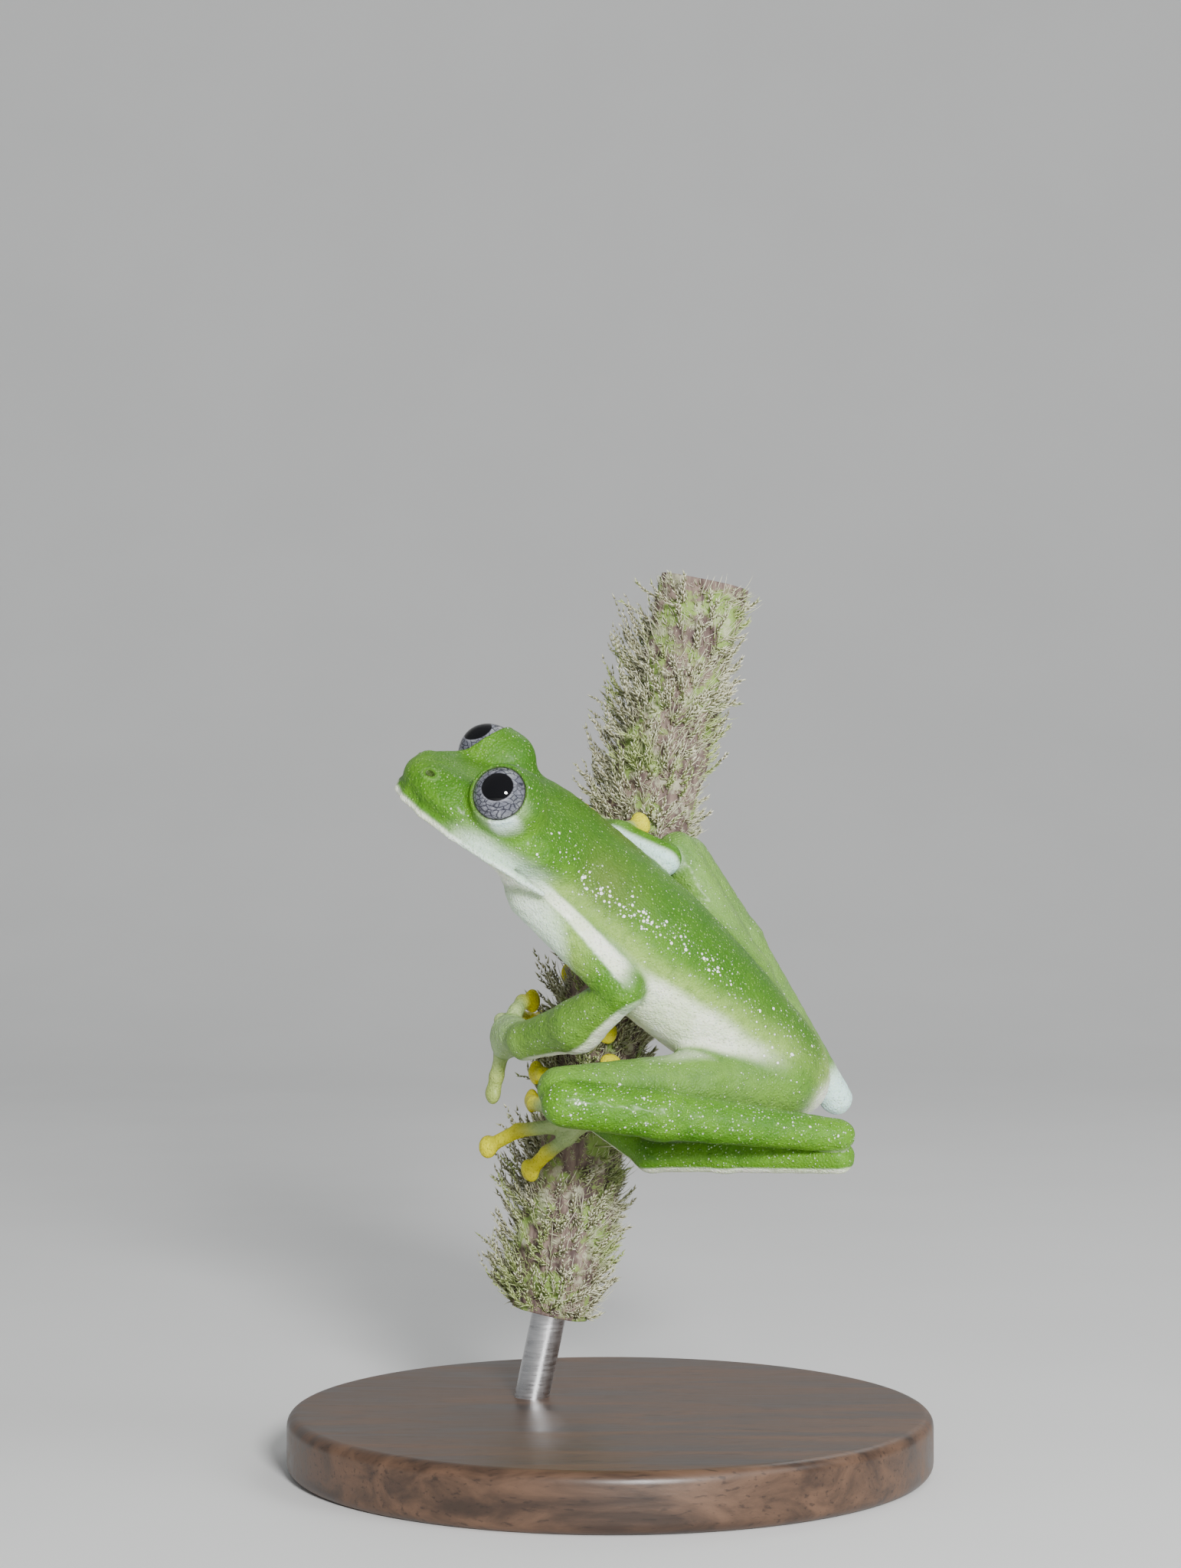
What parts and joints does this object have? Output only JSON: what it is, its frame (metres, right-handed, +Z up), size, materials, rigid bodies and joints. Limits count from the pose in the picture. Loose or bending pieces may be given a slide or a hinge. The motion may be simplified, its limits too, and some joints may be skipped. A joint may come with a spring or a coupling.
{
  "type": "glass frog model",
  "caption": "Life-size still model of a glass frog climbing a short cut length of mossy stem, held upright on a flat round display base.",
  "frame": {"origin": "on the underside of the stand's base, below the middle of the stem", "axes": "+Z up; the stem leans from -X at its foot to +X at its head in the XZ plane; the frog clings to its -Y side, head up and toward -X, so its left flank looks along -Y"},
  "size_m": [0.033, 0.033, 0.0461],
  "materials": {
    "skin": "moist leaf-green skin with pale granules",
    "digits": "moist yellow-green skin",
    "eye": "glossy, grey net-patterned iris with a round black pupil",
    "moss": "brown bark felted with pale green moss",
    "base": "dark satin wood",
    "rod": "brushed"
  },
  "bodies": {
    "root": {"head": "skin", "eye_left": "eye", "eye_right": "eye", "trunk": "skin", "upper_arm_left": "skin", "forearm_left": "skin", "hand_left": "digits", "upper_arm_right": "skin", "forearm_right": "skin", "hand_right": "digits", "thigh_left": "skin", "shank_left": "skin", "tarsus_left": "skin", "foot_left": "digits", "thigh_right": "skin", "shank_right": "skin", "tarsus_right": "skin", "foot_right": "digits", "perch_stem": "moss", "stand_base": "base", "stand_rod": "rod"}
  },
  "joints": []
}
